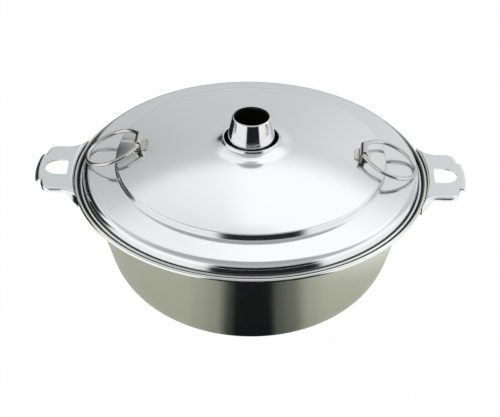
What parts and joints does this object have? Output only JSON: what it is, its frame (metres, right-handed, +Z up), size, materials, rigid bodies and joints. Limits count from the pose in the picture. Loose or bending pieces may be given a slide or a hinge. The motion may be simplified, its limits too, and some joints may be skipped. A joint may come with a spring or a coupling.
{
  "type": "chimney hot pot",
  "caption": "Round steel hot pot with a cone-shaped flue through its middle, pressed side handles, and a domed lift-off lid with wire lifting rings.",
  "frame": {"origin": "middle of the pot's flat base, on the surface it stands on", "axes": "+Z up along the chimney; the handles lie along X, handle_right at +X and handle_left at -X"},
  "size_m": [0.3398, 0.278, 0.1522],
  "materials": {
    "pot_steel": "satin stainless steel",
    "flue_steel": "mirror-polished stainless steel",
    "lid_steel": "mirror-polished stainless steel",
    "handle_steel": "polished stainless steel",
    "ring_steel": "polished stainless steel wire and strap"
  },
  "bodies": {
    "pot": {"pot_bowl": "pot_steel", "chimney_cone": "flue_steel", "handle_left": "handle_steel", "handle_right": "handle_steel"},
    "lid": {"lid_shell": "lid_steel", "ring_bracket_left": "ring_steel", "ring_bracket_right": "ring_steel"},
    "left_ring": {"ring_left": "ring_steel"},
    "right_ring": {"ring_right": "ring_steel"}
  },
  "joints": [
    {"name": "lid_lift", "type": "slide", "parent": "pot", "child": "lid", "axis": [0, 0, 1], "range_m": [0, 0.1]},
    {"name": "ring_left_hinge", "type": "hinge", "parent": "lid", "child": "left_ring", "pos_m": [-0.0884, 0.0034, 0.12586], "axis": [0.0384, 0.9993, 0], "range_deg": [0, 195]},
    {"name": "ring_right_hinge", "type": "hinge", "parent": "lid", "child": "right_ring", "pos_m": [0.0884, -0.0034, 0.12586], "axis": [-0.0384, -0.9993, 0], "range_deg": [0, 195]}
  ]
}
